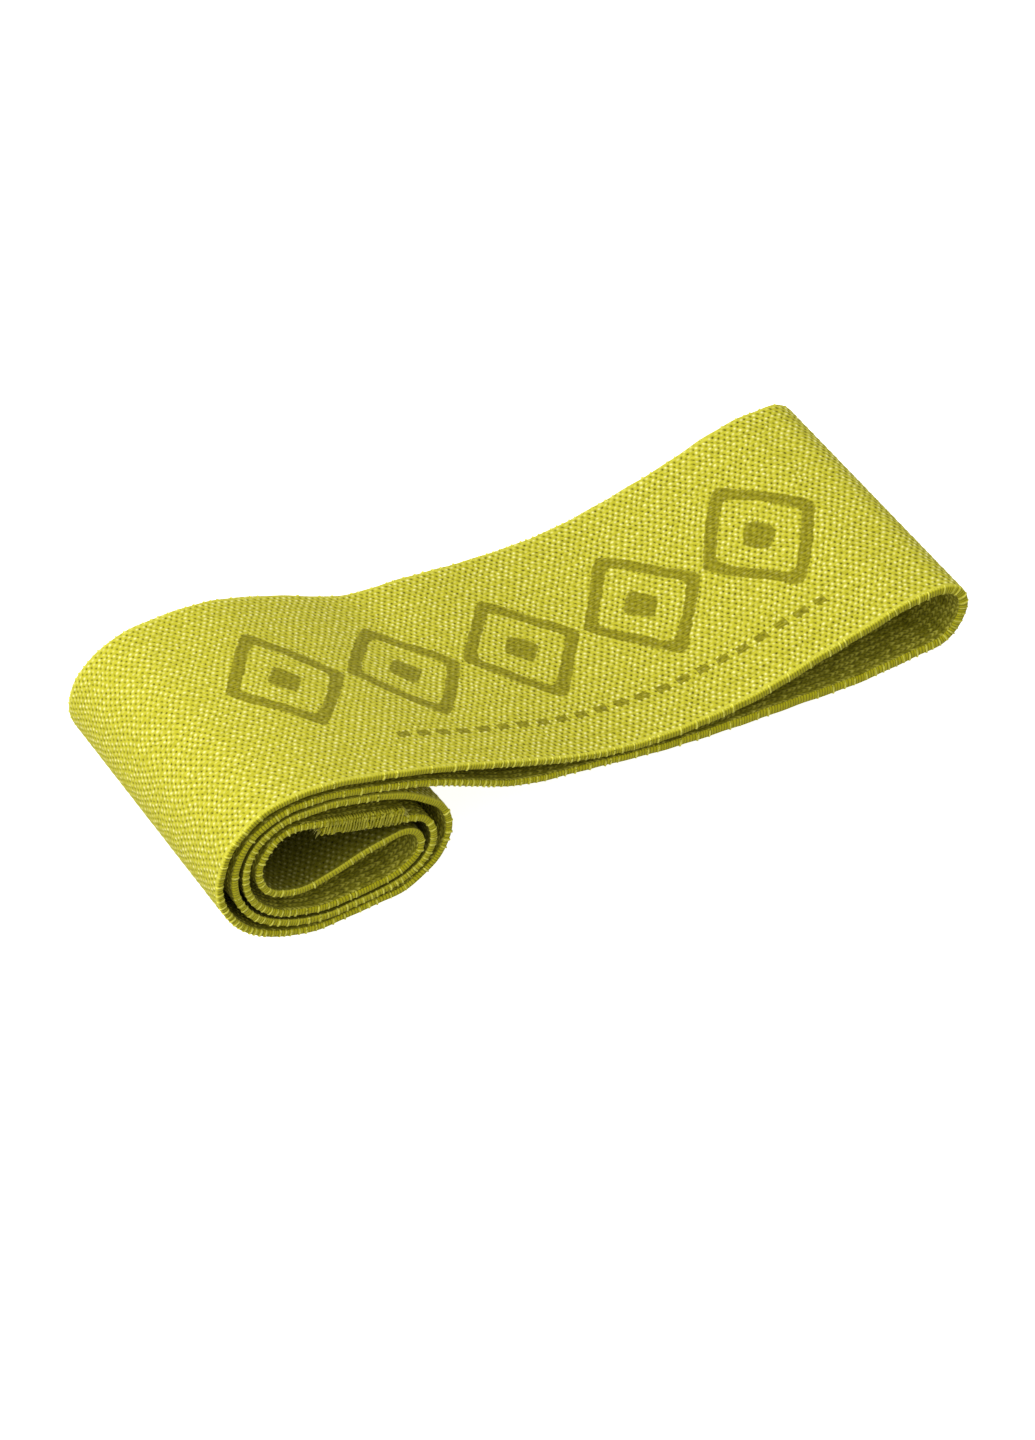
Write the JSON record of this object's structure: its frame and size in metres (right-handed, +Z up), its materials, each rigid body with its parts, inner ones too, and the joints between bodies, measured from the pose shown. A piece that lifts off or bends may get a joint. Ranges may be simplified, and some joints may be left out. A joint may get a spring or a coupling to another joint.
{
  "type": "resistance band",
  "caption": "Closed loop of flat woven elastic, laid flat and rolled up from its sewn seam, with the free end of the loop left lying out.",
  "frame": {"origin": "on the surface the band lies on, under the middle of its bounding box", "axes": "+X from the roll towards the free end of the loop, +Y across the band's width, +Z up"},
  "size_m": [0.1303, 0.05, 0.0291],
  "materials": {
    "woven_face": "woven elastic, satin polyester with a ribbed face",
    "woven_back": "woven elastic, back of the same cloth",
    "selvedge": "dense woven edge",
    "rubber_thread": "natural latex thread",
    "sewing_thread": "polyester sewing thread"
  },
  "bodies": {
    "roll": {"second_turn_face_cloth": "woven_face", "second_turn_back_cloth": "woven_back", "second_turn_rubber_threads": "rubber_thread", "second_turn_selvedges": "selvedge", "outer_turn_face_cloth": "woven_face", "outer_turn_back_cloth": "woven_back", "outer_turn_rubber_threads": "rubber_thread", "outer_turn_selvedges": "selvedge", "inner_turn_face_cloth": "woven_face", "inner_turn_back_cloth": "woven_back", "inner_turn_rubber_threads": "rubber_thread", "inner_turn_selvedges": "selvedge", "core_turn_face_cloth": "woven_face", "core_turn_back_cloth": "woven_back", "core_turn_rubber_threads": "rubber_thread", "core_turn_selvedges": "selvedge", "seam_needle_thread": "sewing_thread", "seam_bobbin_thread": "sewing_thread"},
    "flap": {"lower_run_face_cloth": "woven_face", "lower_run_back_cloth": "woven_back", "lower_run_rubber_threads": "rubber_thread", "lower_run_selvedges": "selvedge", "upper_run_face_cloth": "woven_face", "upper_run_back_cloth": "woven_back", "upper_run_rubber_threads": "rubber_thread", "upper_run_selvedges": "selvedge"},
    "loop_end": {"loop_end_face_cloth": "woven_face", "loop_end_back_cloth": "woven_back", "loop_end_rubber_threads": "rubber_thread", "loop_end_selvedges": "selvedge"}
  },
  "joints": [
    {"name": "flap_lift", "type": "hinge", "parent": "roll", "child": "flap", "pos_m": [-0.0246, 0, 0.0208], "axis": [0, -1, 0], "range_deg": [0, 75]},
    {"name": "band_stretch", "type": "slide", "parent": "flap", "child": "loop_end", "axis": [1, 0, 0], "range_m": [0, 0.04], "stiffness_N_per_m": 400}
  ]
}
